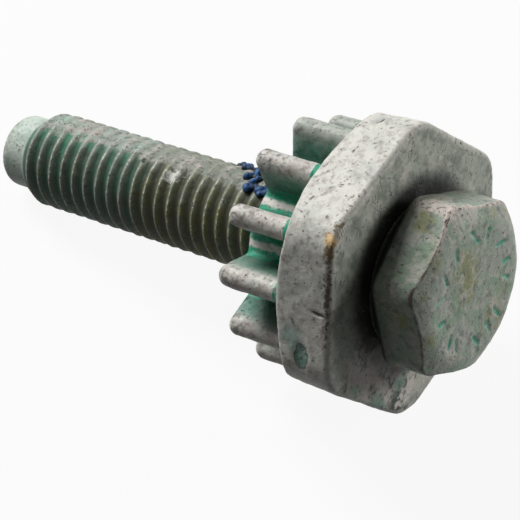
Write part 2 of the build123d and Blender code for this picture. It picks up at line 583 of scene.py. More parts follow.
def stamp_head(bolt, sizes, material):
    """Stamps a ring of short plain strokes into the head, each with its own length and slant."""
    tree, given = add_tree(bolt, "Stamped strokes", {
        "Top height": -sizes.head_height / MM,
        "Strokes": float(sizes.mark_count),
        "Ring radius": 4.35,
        "Stroke half length": 0.62,
        "Shortest stroke": 0.55,
        "Stroke half width": 0.13,
        "Depth": 0.12,
        "Reach into the head": 0.2,
        "Slant": 0.8,
        "Scatter": 0.5,
        "Seed": 3.0,
    })
    _, along, radius, turn = round_the_axis(tree)
    turns = add_node(tree, MATH, (turn, TURN), operation="DIVIDE")
    counted = add_node(tree, MATH, (turns, given["Strokes"]), operation="MULTIPLY")
    number = add_node(tree, MATH, (counted,), operation="ROUND")
    off = add_node(tree, MATH, (counted, number), operation="SUBTRACT")
    arc = add_node(tree, MATH, (radius, TURN), operation="MULTIPLY")
    arc = add_node(tree, MATH, (arc, given["Strokes"]), operation="DIVIDE")
    sideways = add_node(tree, MATH, (off, arc), operation="MULTIPLY")
    keyed = add_node(tree, MATH, (number, given["Seed"]), operation="ADD")
    chance = add_node(tree, "ShaderNodeTexWhiteNoise", {"W": keyed}, noise_dimensions="1D")
    shades = add_node(tree, "FunctionNodeSeparateColor", (chance.outputs["Color"],))
    lean = add_node(tree, RANGE, {"Value": shades.outputs[0], "To Min": -1.0, "To Max": 1.0})
    lean = add_node(tree, MATH, (lean, given["Slant"]), operation="MULTIPLY")
    aside = add_node(tree, MATH, (shades.outputs[2], 0.5), operation="SUBTRACT")
    aside = add_node(tree, MATH, (aside, given["Scatter"]), operation="MULTIPLY")
    aside = add_node(tree, MATH, (aside, arc), operation="MULTIPLY")
    sideways = add_node(tree, MATH, (sideways, aside), operation="ADD")
    outward = add_node(tree, MATH, (radius, given["Ring radius"]), operation="SUBTRACT")
    drift = add_node(tree, MATH, (outward, lean), operation="MULTIPLY")
    sideways = add_node(tree, MATH, (sideways, drift), operation="SUBTRACT")
    sideways = add_node(tree, MATH, (sideways,), operation="ABSOLUTE")
    outward = add_node(tree, MATH, (outward,), operation="ABSOLUTE")
    reach = add_node(tree, RANGE, {
        "Value": shades.outputs[1], "To Min": given["Shortest stroke"], "To Max": 1.0,
    })
    reach = add_node(tree, MATH, (reach, given["Stroke half length"]), operation="MULTIPLY")
    width = given["Stroke half width"]
    wide = add_node(tree, MATH, (width, 2.0), operation="MULTIPLY")
    beside_stroke = add_node(tree, RANGE, (sideways, width, wide, 1.0, 0.0), interpolation_type="SMOOTHSTEP")
    past = add_node(tree, MATH, (reach, width), operation="ADD")
    past_stroke = add_node(tree, RANGE, (outward, reach, past, 1.0, 0.0), interpolation_type="SMOOTHSTEP")
    stroke = add_node(tree, MATH, (beside_stroke, past_stroke), operation="MULTIPLY")
    over = add_node(tree, MATH, (given["Top height"], given["Reach into the head"]), operation="ADD")
    on_top = add_node(tree, "FunctionNodeCompare", (along, over), operation="LESS_THAN")
    stroke = add_node(tree, MATH, (stroke, on_top), operation="MULTIPLY")
    sunk = add_node(tree, MATH, (stroke, given["Depth"]), operation="MULTIPLY")
    kept = add_node(tree, "GeometryNodeStoreNamedAttribute", {
        "Geometry": given["Geometry"], "Name": "stamp", "Value": stroke,
    }, data_type="FLOAT", domain="POINT")
    shift = add_node(tree, "ShaderNodeCombineXYZ", {2: sunk})
    stamped = add_node(tree, "GeometryNodeSetPosition", {"Geometry": kept, "Offset": shift})
    end_tree(tree, stamped, material)


# The head's skin: how often its top edge is relaxed, the size, depth and seed of its lumps, and how far it
# sinks
TOP_EDGE_ROUNDS = 16
HEAD_LUMPS = ((2.2, 0.035, 1), (0.6, 0.022, 2))
HEAD_SINKS = 0.03

# Where the softening sets in and ends: heights above the bearing face, and radii for the top edge
HEAD_SOFTENS = (0.5, 0.7)
TOP_EDGE_RISES = (4.8, 5.0)
TOP_EDGE_BEGINS = (4.9, 5.4)
TOP_EDGE_ENDS = (6.0, 6.4)


def soften_head(mesh):
    """Rounds the head's edges, most of all the round edge of its top, and roughens its faces inwards."""
    points = points_of(mesh)
    edges = edges_of(mesh)
    radius = np.hypot(points[:, 0], points[:, 1])
    soft = relaxed(points, edges, 1)
    on_head = eased(-points[:, 2], *HEAD_SOFTENS)[:, None]
    points = points + (soft - points) * on_head
    softer = relaxed(points, edges, TOP_EDGE_ROUNDS)
    top_edge = eased(-points[:, 2], *TOP_EDGE_RISES) * eased(radius, *TOP_EDGE_BEGINS)
    top_edge *= 1 - eased(radius, *TOP_EDGE_ENDS)
    points = points + (softer - points) * top_edge[:, None]
    head = points[:, 2] < -HEAD_SOFTENS[0]
    hollow = np.zeros(len(points))
    broad, fine = [rough(points[head], size, seed) * depth for size, depth, seed in HEAD_LUMPS]
    hollow[head] = broad + fine - HEAD_SINKS
    move_points(mesh, points + normals_of(mesh) * hollow[:, None])


# Spots on the bolt in its own millimetres, with their radii: a crushed stretch of thread and two pits
CRUSHED_THREAD = ((3.88, -0.65, 21.82), 1.3)
THREAD_PITS = (((3.93, -0.14, 25.18), 0.42), ((2.9, -2.6, 20.6), 0.36))

# Where the head's coating is olive, and where it is pale pinkish grey: rubbed coating, with painted light on the
# upper side of the head
OLIVE_PATCHES = (((1.9, -0.05, -5.3), 3.5), ((6.88, 0.16, -2.8), 1.7), ((2.92, -6.02, -3.3), 1.9))
PALE_PATCHES = (((7.0, 1.84, -3.6), 2.0), ((5.7, 2.5, -5.0), 1.9), ((5.6, -3.6, -4.2), 1.7))


# Where the bolt's coatings change: heights, a radius for the head's rim and, for the crust and the upper side,
# cosines of the turn from the crust's middle. The shadow heights bound the painted shadow in the gap under the
# head, the dark side heights bound the painted shade on the head's sides, darkest by the pinion, and the upper
# side also takes painted light
HEAD_ENDS = (-0.2, 0.2)
DOG_BEGINS = (37.3, 37.7)
TIPWARD = (17.0, 33.0)
CRUST_BEGINS = 0.8
UPPER_SIDE = (0.4, 0.97)
SHADOW_BEGINS = (-1.3, -1.0)
SHADOW_ENDS = (0.4, 0.8)
HEAD_RIM = (6.0, 6.25)
DARK_SIDE_BEGINS = -2.3
DARK_SIDE_LENGTH = 1.4


def nearness(points, *patches):
    """1 in the middle of the nearest patch, falling evenly to 0 at its radius. A patch is its place and its
    radius."""
    away = [np.linalg.norm(points - np.array(place), axis=1) / radius for place, radius in patches]
    return np.clip(1 - np.min(away, axis=0), 0, 1)


def mark_bolt(mesh):
    """Keeps where the coatings and the damage of the bolt lie, for its material."""
    points = points_of(mesh)
    height = points[:, 2]
    facing = np.cos(np.arctan2(points[:, 1], points[:, 0]) - CRUST_TURN)
    keep_marks(mesh, {
        "head": 1 - eased(height, *HEAD_ENDS),
        "dog": eased(height, *DOG_BEGINS),
        "tipward": eased(height, *TIPWARD),
        "crust": np.clip((facing - CRUST_BEGINS) / (1 - CRUST_BEGINS), 0, 1),
        "upper": eased(facing, *UPPER_SIDE),
        # Painted shadow in the gap under the head
        "painted_shadow_under_head": eased(height, *SHADOW_BEGINS) * (1 - eased(height, *SHADOW_ENDS)),
        "outer": eased(np.hypot(points[:, 0], points[:, 1]), *HEAD_RIM),
        # Painted shade on the head's sides, darker towards the pinion
        "head_side": np.clip((height - DARK_SIDE_BEGINS) / DARK_SIDE_LENGTH, 0, 1),
        "olive": nearness(points, *OLIVE_PATCHES),
        "pale": nearness(points, *PALE_PATCHES),
        "crushed": nearness(points, CRUSHED_THREAD),
        "pit": nearness(points, *THREAD_PITS),
    })


class TENSIONER_OT_bolt(Operator):
    """Make the threaded bolt with its hexagon head"""

    bl_idname = "tensioner.bolt"
    bl_label = "Make the bolt"

    def execute(self, context):
        sizes = context.scene.tensioner_bolt
        mesh = bolt_blank(sizes)
        soften_head(mesh)
        bolt = object_of("threaded_bolt", mesh)
        material = olive_zinc()
        roll_thread(bolt, sizes, material)
        stamp_head(bolt, sizes, material)
        bake_modifiers(bolt)
        keep_wear(bolt.data, rounds=8, reach=0.09)
        mark_bolt(bolt.data)
        finish_piece(bolt, "bolt", "bolt_steel", "hex_bolt")
        return {"FINISHED"}


# Pinion

PLATE_BACK = 5.35
PINION_END = 11.5

# Dents and pits in the forging: name, place and direction of their length in the bolt's own millimetres, half
# length, half width and depth
PINION_DENTS = (
    ("leaf dent", (1.8, -11.21, 2.73), (0.87, 0.5, 0.0), 1.55, 0.95, 0.14),
    ("notch by the front edge", (5.19, -9.33, 1.2), (0.05, 0.03, 1.0), 1.15, 0.24, 0.16),
    ("front pit", (4.71, 9.33, 0.08), (1.0, 0.0, 0.0), 0.35, 0.3, 0.2),
    ("rim crack", (10.45, 5.16, 3.19), (0.3, -0.9, 0.3), 1.0, 0.16, 0.18),
)

# Ring of teeth
TOOTH_COUNT = 12
TOOTH_TURN = radians(-1.6)
TOOTH_HALF_WIDTH = 0.95
TOOTH_ROOT_RADIUS = 6.5

# Plate
PLATE_APOTHEM = 10.75
PLATE_SHRINK = tan(radians(3))

# Where the front's coating has blistered, and the teal patch beside the leaf-shaped dent
BLISTERED_FRONT = ((-4.9, -7.6, 0.05), 7.6)
TEAL_PATCH = ((2.9, -10.6, 3.6), 1.9)

# Where a spanner has rubbed the plate's front corner down to brass-coloured metal, the stain beside it and
# the dirt along the edge below
RUBBED_CORNER = ((10.2, -6.05, 0.6), 0.98)
STAINED_EDGE = ((10.0, -6.3, 0.6), 3.4)
DIRTY_EDGE = ((6.2, -8.7, 0.3), 7.5)

# Where the crests of the teeth have kept a grey-green coating
GREEN_CRESTS = ((7.4, 6.2, 8.6), 6.0)

# Where the pinion's coatings change, and where the painted shadow of the bolt head on the front fades: radii on
# the teeth and the front, and heights
LAND_ENDS = (6.75, 6.95)
FLANK_FADES = (7.3, 9.5)
GREEN_BEGINS = (8.3, 8.9)
CREST_BEGINS = (8.9, 9.6)
HEAD_SHADOW_FADES = (6.9, 8.6)
FRONT_ENDS = (0.12, 0.4)
BRIM_HEIGHT = 1.15
BRIM_WIDTH = 0.5
TEETH_BEGIN = (PLATE_BACK - 0.1, PLATE_BACK + 0.1)
PLATE_SHELTER_ENDS = (PLATE_BACK + 0.45, PLATE_BACK + 0.8)
ROOT_END_BEGINS = (PINION_END - 0.35, PINION_END - 0.1)
ROOT_END_FADES = (6.9, 7.4)
TOOTH_END_BEGINS = (8.6, 11.2)
TOOTH_END_RADII = (8.0, 9.0)

# Shelter in the corners of the tooth roots: its strength right in the corner, and how fast it fades
CORNER_SHELTER = 1.25
CORNER_SHELTER_WIDTH = 0.6

# The stain beside the rubbed corner: how much stronger it is on the brim, and its strength elsewhere
STAIN_ON_BRIM = 1.6
STAIN_ELSEWHERE = 0.3

# Size of the pinion's forged hollows, and the size and depth of its finer grain
HOLLOW_SIZE = 3.2
GRAIN_SIZE = 0.8
GRAIN_DEPTH = 0.03

# How far into a corner the skin is fully relaxed, and how much of a dent is as deep as its middle
FULL_CORNER = 0.04
DENT_FLOOR = 0.2


def mark_pinion(mesh):
    """Keeps where the pinion's coatings lie, for its material: sheltered in the tooth roots and beside the
    plate, thinning up the flanks, rubbed on the lands and the crests."""
    points = points_of(mesh)
    height = points[:, 2]
    radius = np.hypot(points[:, 0], points[:, 1])
    pitch = TURN / TOOTH_COUNT
    turns = np.arctan2(points[:, 1], points[:, 0]) - TOOTH_TURN
    off_tooth = (turns + pitch / 2) % pitch - pitch / 2
    off_flank = np.abs(radius * np.sin(off_tooth)) - TOOTH_HALF_WIDTH
    off_corner = np.hypot(radius - TOOTH_ROOT_RADIUS, off_flank)
    on_teeth = eased(height, *TEETH_BEGIN)
    beside_plate = 1 - eased(height, *PLATE_SHELTER_ENDS)
    corner = np.clip(CORNER_SHELTER - off_corner / CORNER_SHELTER_WIDTH, 0, 1)
    flats = np.arange(6) * pi / 3
    reach = (points[:, :1] * np.cos(flats) + points[:, 1:2] * np.sin(flats)).max(axis=1)
    inside_rim = PLATE_APOTHEM - np.clip(height, 0, PLATE_BACK) * PLATE_SHRINK - reach
    on_front = 1 - eased(height, *FRONT_ENDS)
    at_end = eased(height, *ROOT_END_BEGINS) * (1 - eased(radius, *ROOT_END_FADES))
    off_land = on_teeth * eased(radius, *LAND_ENDS)
    green = np.sqrt(nearness(points, GREEN_CRESTS)) * on_teeth
    towards_end = on_teeth * eased(height, *TOOTH_END_BEGINS)
    brim = np.clip(BRIM_HEIGHT - height, 0, 1) * np.clip(1 - inside_rim / BRIM_WIDTH, 0, 1)
    stain = np.clip(brim * STAIN_ON_BRIM + STAIN_ELSEWHERE, 0, 1)
    keep_marks(mesh, {
        "shelter": on_teeth * np.max([corner, beside_plate, at_end], axis=0),
        "flank": off_land * (1 - eased(radius, *FLANK_FADES)),
        "crest": on_teeth * eased(radius, *CREST_BEGINS),
        "green_crest": green * eased(radius, *GREEN_BEGINS),
        "tooth_end": towards_end * eased(radius, *TOOTH_END_RADII),
        "land": on_teeth * (1 - eased(radius, *LAND_ENDS)),
        "front": on_front,
        "brim": brim,
        # Painted shadow of the bolt head on the plate's front, fading outwards from the head
        "painted_head_shadow": on_front * (1 - eased(radius, *HEAD_SHADOW_FADES)),
        "blistered": on_front * nearness(points, BLISTERED_FRONT),
        "teal_patch": nearness(points, TEAL_PATCH),
        "rubbed": nearness(points, RUBBED_CORNER),
        "dirty_edge": nearness(points, DIRTY_EDGE),
        "stained": nearness(points, STAINED_EDGE) * stain,
    })


def fill_roots(points, edges, normals, rounds):
    """Relaxes the skin only where it lies in a corner, so that edges that stand out stay crisp."""
    soft = relaxed(points, edges, rounds)
    inward = ((soft - points) * normals).sum(axis=1)
    return points + (soft - points) * eased(inward, 0.0, FULL_CORNER)[:, None]


def cad_copy(node_name, thing_name):
    """A merged copy of a CAD node's mesh in the bolt's own millimetres."""
    merged = bmesh.new()
    merged.from_mesh(frame["nodes"][node_name].data)
    bmesh.ops.remove_doubles(merged, verts=merged.verts, dist=SAME_CAD_POINT * MM)
    mesh = bpy.data.meshes.new(thing_name)
    merged.to_mesh(mesh)
    merged.free()
    mesh.transform(TO_BOLT)
    return object_of(thing_name, mesh)


def press_dents(points, normals, dents):
    """Presses each dent into the skin, and gives how deep each point lies in each, by the dents' names."""
    shares = {}
    points = points.copy()
    for name, place, direction, half_length, half_width, depth in dents:
        offset = points - np.array(place)
        lengthways = np.array(direction) / np.linalg.norm(direction)
        along = offset @ lengthways
        across = np.sqrt(np.maximum((offset**2).sum(axis=1) - along**2, 0))
        off_middle = np.sqrt((along / half_length) ** 2 + (across / half_width) ** 2)
        share = 1 - eased(off_middle, DENT_FLOOR, 1.0)
        points -= normals * (share * depth)[:, None]
        shares[name] = share
    return points, shares


class TENSIONER_OT_pinion(Operator):
    """Make the forged pinion with its rounded teeth"""

    bl_idname = "tensioner.pinion"
    bl_label = "Make the pinion"

    def execute(self, context):
        sizes = context.scene.tensioner_pinion
        pinion = cad_copy("tensioner_pinion", "forged_pinion")
        remesh = pinion.modifiers.new("Forged skin", "REMESH")
        remesh.mode = "VOXEL"
        remesh.voxel_size = sizes.grid / MM
        bake_modifiers(pinion)
        mesh = pinion.data
        edges = edges_of(mesh)
        points = fill_roots(points_of(mesh), edges, normals_of(mesh), sizes.root_rounds)
        points = relaxed(points, edges, sizes.edge_rounds)
        move_points(mesh, points)
        normals = normals_of(mesh)
        uneven = sizes.unevenness / MM
        hollow = rough(points, HOLLOW_SIZE, 3) * 0.5 - 0.5
        fine = rough(points, GRAIN_SIZE, 5) * GRAIN_DEPTH
        points = points + normals * (hollow * uneven + fine)[:, None]
        points, dented = press_dents(points, normals, PINION_DENTS)
        move_points(mesh, points)
        leaf = dented.pop("leaf dent")
        keep_marks(mesh, {"leaf": leaf, "dent": np.max(list(dented.values()), axis=0)})
        keep_wear(mesh, rounds=8, reach=0.1)
        mark_pinion(mesh)
        mesh.materials.append(forged_zinc())
        finish_piece(pinion, "pinion", "pinion_steel", "tensioner_pinion")
        return {"FINISHED"}


# Locking patch

# Radii between which the grains turn from the painted shade of the gaps, near black, to the blue of their crowns
CROWNS_BEGIN = (3.92, 4.2)


def strew_grains(patch, sizes, material):
    """Strews melted grains over a slanted stretch of the thread, just past the pinion."""
    tree, given = add_tree(patch, "Nylon grains", {
        "Shank radius": 3.93,
        "First turn": radians(-2),
        "Last turn": radians(72),
        "First height": 11.9,
        "Far height": 14.7,
        "Slant": 3.6,
        "Grain": sizes.grain / MM,
        "Smallest grain": 0.6,
        "Lowest pile": -0.14,
        "Highest pile": 0.12,
        "Lumpiness": 0.35,
        "Density": sizes.density,
        "Seed": sizes.seed,
    })
    sheet = add_node(tree, "GeometryNodeMeshGrid", {
        "Size X": 1.0, "Size Y": 1.0, "Vertices X": 2, "Vertices Y": 2,
    })
    arc = add_node(tree, MATH, (given["Last turn"], given["First turn"]), operation="SUBTRACT")
    breadth = add_node(tree, MATH, (arc, given["Shank radius"]), operation="MULTIPLY")
    length = add_node(tree, MATH, (given["Far height"], given["First height"]), operation="SUBTRACT")
    area = add_node(tree, MATH, (breadth, length), operation="MULTIPLY")
    density = add_node(tree, MATH, (area, given["Density"]), operation="MULTIPLY")
    strewn = add_node(tree, "GeometryNodeDistributePointsOnFaces", {
        "Mesh": sheet, "Density": density, "Seed": given["Seed"],
    })
    place = add_node(tree, "GeometryNodeInputPosition")
    parts = add_node(tree, "ShaderNodeSeparateXYZ", (place,))
    turn = add_node(tree, RANGE, (parts.outputs[0], -0.5, 0.5, given["First turn"], given["Last turn"]))
    far = add_node(tree, MATH, (turn, given["Slant"], given["Far height"]), operation="MULTIPLY_ADD")
    height = add_node(tree, RANGE, (parts.outputs[1], -0.5, 0.5, given["First height"], far))
    ahead = add_node(tree, MATH, (turn,), operation="COSINE")
    beside = add_node(tree, MATH, (turn,), operation="SINE")
    radial = add_node(tree, "ShaderNodeCombineXYZ", (ahead, beside))
    piled = add_node(tree, "FunctionNodeRandomValue", {
        2: given["Lowest pile"], 3: given["Highest pile"], "Seed": given["Seed"],
    }, data_type="FLOAT")
    level = add_node(tree, MATH, (given["Shank radius"], piled.outputs[1]), operation="ADD")
    out = add_node(tree, VECTOR, {0: radial, "Scale": level}, operation="SCALE")
    up = add_node(tree, "ShaderNodeCombineXYZ", {2: height})
    target = add_node(tree, VECTOR, (out, up), operation="ADD")
    wrapped = add_node(tree, "GeometryNodeSetPosition", {"Geometry": strewn, "Position": target})
    ball = add_node(tree, "GeometryNodeMeshIcoSphere", {"Radius": 0.5, "Subdivisions": 2})
    wobble = add_node(tree, NOISE, {"Scale": 1.3, "Detail": 1.0})
    centred = add_node(tree, VECTOR, (wobble.outputs["Color"], (0.5, 0.5, 0.5)), operation="SUBTRACT")
    bumpy = add_node(tree, VECTOR, {0: centred, "Scale": given["Lumpiness"]}, operation="SCALE")
    lump = add_node(tree, "GeometryNodeSetPosition", {"Geometry": ball, "Offset": bumpy})
    spun = add_node(tree, "FunctionNodeRandomValue", {
        "Min": (0, 0, 0), "Max": (TURN, TURN, TURN), "Seed": given["Seed"],
    }, data_type="FLOAT_VECTOR")
    small = add_node(tree, MATH, (given["Grain"], given["Smallest grain"]), operation="MULTIPLY")
    size = add_node(tree, "FunctionNodeRandomValue", {
        2: small, 3: given["Grain"], "Seed": given["Seed"],
    }, data_type="FLOAT")
    grains = add_node(tree, "GeometryNodeInstanceOnPoints", {
        "Points": wrapped, "Instance": lump, "Rotation": spun, "Scale": size.outputs[1],
    })
    end_tree(tree, grains, material)


class TENSIONER_OT_locking_patch(Operator):
    """Make the granular nylon patch that keeps the pinion on the bolt"""

    bl_idname = "tensioner.locking_patch"
    bl_label = "Make the locking patch"

    def execute(self, context):
        sizes = context.scene.tensioner_patch
        patch = object_of("grain_patch", bpy.data.meshes.new("grain_patch"))
        material = blue_nylon()
        strew_grains(patch, sizes, material)
        bake_modifiers(patch)
        melt = patch.modifiers.new("Melted skin", "REMESH")
        melt.mode = "VOXEL"
        melt.voxel_size = sizes.melt_grid / MM
        bake_modifiers(patch)
        mesh = patch.data
        points = relaxed(points_of(mesh), edges_of(mesh), 1)
        move_points(mesh, points)
        # How high each point of the grains stands, by which their material paints shade low in the gaps
        keep_marks(mesh, {"crown": eased(np.hypot(points[:, 0], points[:, 1]), *CROWNS_BEGIN)})
        mesh.materials.clear()
        mesh.materials.append(material)
        finish_piece(patch, "bolt", "patch_nylon", "retaining_patch")
        return {"FINISHED"}


# Materials

def bare_material(name):
    """A node material without any nodes yet."""
    material = bpy.data.materials.new(name)
    material.use_nodes = True
    material.node_tree.nodes.clear()
    return material, material.node_tree


def new_coating(name):
    """A material with its principled shader, and the places on the piece that its patterns follow."""
    material, tree = bare_material(name)
    shader = add_node(tree, "ShaderNodeBsdfPrincipled")
    add_node(tree, "ShaderNodeOutputMaterial", {"Surface": shader})
    return material, tree, shader, add_node(tree, "ShaderNodeTexCoord").outputs["Object"]


def marks_of(tree, names):
    """The points' kept numbers, by name."""
    return {name: add_node(tree, "ShaderNodeAttribute", attribute_name=name).outputs["Fac"] for name in names}


def spots(tree, place, size, low, high, detail=3.0):
    """Irregular spots of about this many millimetres. Noise from low to high is their edge."""
    noisy = add_node(tree, NOISE, {
        "Vector": place, "Scale": per_mm(size), "Detail": detail, "Roughness": 0.65,
    })
    return add_node(tree, RANGE, (noisy, low, high)).outputs[0]


def ragged(tree, place, mark, size, fray=0.5):
    """A mark with its soft edge torn into small bays of about this many millimetres."""
    noisy = add_node(tree, NOISE, {
        "Vector": place, "Scale": per_mm(size), "Detail": 4.0, "Roughness": 0.7,
    })
    shifted = add_node(tree, MATH, (noisy, 0.5), operation="SUBTRACT")
    torn = add_node(tree, MATH, (shifted, 2 * fray, mark), operation="MULTIPLY_ADD")
    return add_node(tree, RANGE, (torn, 0.38, 0.62)).outputs[0]


def both(tree, first, second):
    """How far two marks hold together."""
    return add_node(tree, MATH, (first, second), operation="MULTIPLY").outputs[0]


def laid_over(tree, under, layers):
    """Colours laid one over another, each by its own mark."""
    for mark, colour in layers:
        over = linear(colour) if isinstance(colour, str) else colour
        under = add_node(tree, "ShaderNodeMix", {0: mark, 6: under, 7: over}, data_type="RGBA").outputs[2]
    return under


def hairlines(tree, place, size, width):
    """Fine crooked lines that enclose patches of about this many millimetres, broken here and there."""
    bent = add_node(tree, NOISE, {"Vector": place, "Scale": per_mm(size * 0.5), "Detail": 3.0})
    bend = add_node(tree, VECTOR, {0: bent.outputs["Color"], "Scale": size * 0.9 * MM}, operation="SCALE")
    moved = add_node(tree, VECTOR, (place, bend), operation="ADD")
    cells = add_node(tree, "ShaderNodeTexVoronoi", {"Vector": moved, "Scale": per_mm(size)},
                     feature="DISTANCE_TO_EDGE")
    line = add_node(tree, RANGE, (cells.outputs["Distance"], width * 0.3, width, 1.0, 0.0))
    return both(tree, line.outputs[0], spots(tree, place, size * 0.8, 0.47, 0.58))


def rough_coat(tree, shader, place, colour, grit_size, grit_height, dips):
    """Ends a coating: its colour, a dull zinc shine, and a relief of grit with dips where the marks are."""
    # Plated zinc has a grain of micrometres, far below a pixel of about 0.09 mm, so the grit is drawn a few
    # tenths of a millimetre wide, as coarse as it needs to show
    grit = add_node(tree, NOISE, {
        "Vector": place, "Scale": per_mm(grit_size), "Detail": 5.0, "Roughness": 0.7,
    })
    relief = grit.outputs[0]
    for dip, depth in dips:
        relief = add_node(tree, MATH, (dip, -depth, relief), operation="MULTIPLY_ADD")
    bump = add_node(tree, "ShaderNodeBump", {"Height": relief, "Strength": 1.0, "Distance": grit_height * MM})
    tree.links.new(colour, shader.inputs["Base Color"])
    tree.links.new(bump.outputs[0], shader.inputs["Normal"])
    shader.inputs["Metallic"].default_value = 0.05
    shader.inputs["Roughness"].default_value = 0.5
    shader.inputs["Specular IOR Level"].default_value = 0.2


def olive_zinc():
    """Zinc plating with a green to olive passivation: pale and chalky on the dog point, green in the grooves
    near the tip, olive and dirty towards the pinion, and rubbed to thin bright lines on the crests."""
    material, tree, shader, place = new_coating("olive_passivated_zinc")
    dots = partial(spots, tree, place)
    torn = partial(ragged, tree, place)
    marks = marks_of(tree, (
        "groove", "ridge", "stamp", "head", "dog", "tipward", "crust", "upper", "crushed", "pit",
        "painted_shadow_under_head", "head_side", "outer", "olive", "pale",
    ))
    tipward = torn(marks["tipward"], 1.5, 0.35)
    specks = dots(0.36, 0.6, 0.68)
    flanks = laid_over(tree, linear("#716F49"), (
        (tipward, "#768277"),
        (dots(1.7, 0.46, 0.64), "#7A7D6D"),
        (dots(0.8, 0.5, 0.7), "#4E5649"),
    ))
    green = both(tree, tipward, dots(2.4, 0.38, 0.6))
    valleys = laid_over(tree, linear("#36382A"), (
        (tipward, "#2C3F34"),
        (both(tree, green, 0.3), "#1B6D50"),
        # Painted light: a brighter green in the grooves on the upper side
        (both(tree, both(tree, green, tipward), both(tree, marks["upper"], 0.8)), "#1E7A5A"),
    ))
    deep = add_node(tree, RANGE, (marks["groove"], 0.15, 0.85))
    on_crest = add_node(tree, RANGE, (marks["groove"], 0.09, 0.0)).outputs[0]
    # Pale patches on the upper side: dust, and painted light where the lamps light the thread
    dust_and_light = both(tree, marks["upper"], dots(1.2, 0.3, 0.62))
    crust = laid_over(tree, linear("#8A8D80"), (
        (tipward, "#9A9F98"),
        (both(tree, tipward, dots(0.9, 0.46, 0.6)), "#A0B8AA"),
        (dots(1.5, 0.47, 0.6), "#AEA7A1"),
        (both(tree, deep.outputs[0], 0.4), "#6F7C71"),
        (dots(0.45, 0.52, 0.64), "#6B7066"),
        (dots(0.28, 0.6, 0.67), "#4F4B42"),
    ))
    thread = laid_over(tree, flanks, (
        # Pale grey on the upper side: partly dust, partly painted light
        (both(tree, dust_and_light, 0.6), "#9A9C94"),
        (both(tree, deep.outputs[0], 0.92), valleys),
        (both(tree, on_crest, dots(0.7, 0.36, 0.52)), "#98A297"),
        (both(tree, on_crest, dots(0.26, 0.52, 0.6)), "#DCDAD0"),
        (torn(marks["crust"], 0.9, 0.9), crust),
        (specks, "#4C4A42"),
        (torn(marks["crushed"], 0.5, 1.0), "#C9CAC2"),
        (torn(marks["pit"], 0.3, 0.6), "#1C1E19"),
    ))
    dog = laid_over(tree, linear("#BDC9BF"), (
        (dots(1.4, 0.46, 0.6), "#A4B3A7"),
        (both(tree, marks["ridge"], dots(0.6, 0.42, 0.56)), "#8A7C70"),
        (dots(0.3, 0.6, 0.68), "#776C62"),
    ))
    edge = add_node(tree, RANGE, (marks["ridge"], 0.2, 0.65)).outputs[0]
    wide_edge = add_node(tree, RANGE, (marks["ridge"], 0.06, 0.35)).outputs[0]
    # The head's rim edge on its upper side, where worn coating and a painted highlight lie
    upper_edge = both(tree, both(tree, wide_edge, marks["outer"]), marks["upper"])
    head = laid_over(tree, linear("#98A095"), (
        (dots(3.4, 0.44, 0.6), "#879C87"),
        (dots(2.6, 0.56, 0.7), "#8E8B62"),
        (both(tree, torn(marks["olive"], 1.6, 0.8), 0.85), "#888A60"),
        (dots(1.0, 0.48, 0.68), "#B4B2AA"),
        (dots(0.9, 0.54, 0.7), "#69706A"),
        # Pale pinkish grey on the head's upper part: rubbed coating, and painted light
        (both(tree, torn(marks["pale"], 0.8, 0.9), 0.8), "#B6B4A9"),
        (both(tree, both(tree, edge, marks["outer"]), dots(0.9, 0.4, 0.52)), "#5B524B"),
        # Pale pinkish grey on the upper rim edge: worn coating, and a painted highlight on the lit side
        (both(tree, upper_edge, dots(0.8, 0.3, 0.46)), "#CDC2BA"),
        (both(tree, upper_edge, dots(0.3, 0.52, 0.6)), "#4E423B"),
        (specks, "#6A625B"),
        (marks["stamp"], "#8FA99C"),
        (both(tree, marks["stamp"], dots(0.7, 0.42, 0.56)), "#3F8F76"),
        # Painted shade: the head's sides darken towards the pinion, whose plate shades them
        (both(tree, marks["head_side"], 0.6), "#4A4F45"),
        # Painted shadow: near black in the gap under the head, round the washer face
        (marks["painted_shadow_under_head"], "#15170F"),
    ))
    colour = laid_over(tree, thread, ((marks["dog"], dog), (marks["head"], head)))
    rough_coat(tree, shader, place, colour, 0.3, 0.07, ((specks, 0.3), (marks["pit"], 2.0)))
    return material


